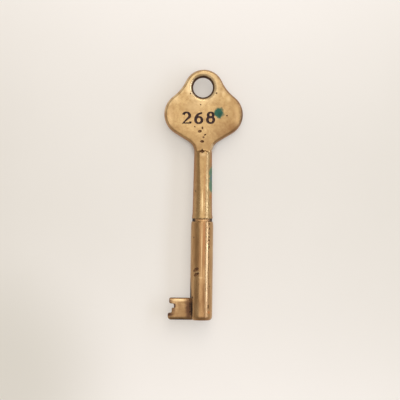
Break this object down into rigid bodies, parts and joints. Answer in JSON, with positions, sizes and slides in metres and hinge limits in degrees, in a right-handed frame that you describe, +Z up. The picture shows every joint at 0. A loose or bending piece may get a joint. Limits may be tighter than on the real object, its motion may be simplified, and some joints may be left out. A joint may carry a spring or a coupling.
{
  "type": "barrel key",
  "caption": "Brass barrel key with a lobed bow, a ring hole, a tapered neck, a hollow barrel that fits over a lock's post and a notched bit at its open end.",
  "frame": {"origin": "under the middle of the key's length, on the surface that the barrel lies on", "axes": "+Y from the barrel's open end to the bow, +X to the right of the numbered face, +Z up out of the numbered face"},
  "size_m": [0.021, 0.0668, 0.006],
  "materials": {
    "cast_brass": "worn cast brass with tarnish in its pits and verdigris in places",
    "drawn_brass": "worn drawn tube with lengthwise lines and brown tarnish",
    "filed_brass": "filed faces with bright worn edges",
    "braze": "dark tarnished braze"
  },
  "bodies": {
    "root": {"bow": "cast_brass", "barrel": "drawn_brass", "barrel_seam": "braze", "neck_braze": "braze", "bit": "filed_brass", "bit_braze": "braze"}
  },
  "joints": []
}
